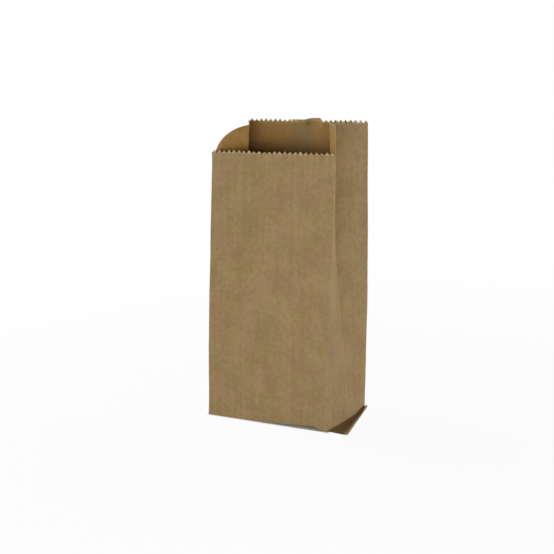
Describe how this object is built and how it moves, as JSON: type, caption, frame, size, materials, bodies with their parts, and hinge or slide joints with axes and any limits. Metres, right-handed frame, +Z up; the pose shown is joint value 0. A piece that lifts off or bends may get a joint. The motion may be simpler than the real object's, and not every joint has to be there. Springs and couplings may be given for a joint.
{
  "type": "paper lunch bag",
  "caption": "Brown kraft paper lunch bag standing open, with side gussets, a toothed mouth cut lower at the front, a lapped back seam and a folded flat base.",
  "frame": {"origin": "middle of the base rectangle, on the underside of the outermost base flap", "axes": "+Z up towards the mouth, -Y towards the lower cut front panel, +X to the right seen from the front"},
  "size_m": [0.1505, 0.0822, 0.28],
  "materials": {
    "kraft_paper": "uncoated brown kraft paper, matte, lightly mottled with fibre flecks"
  },
  "bodies": {
    "root": {"paper_bag": "kraft_paper"}
  },
  "joints": []
}
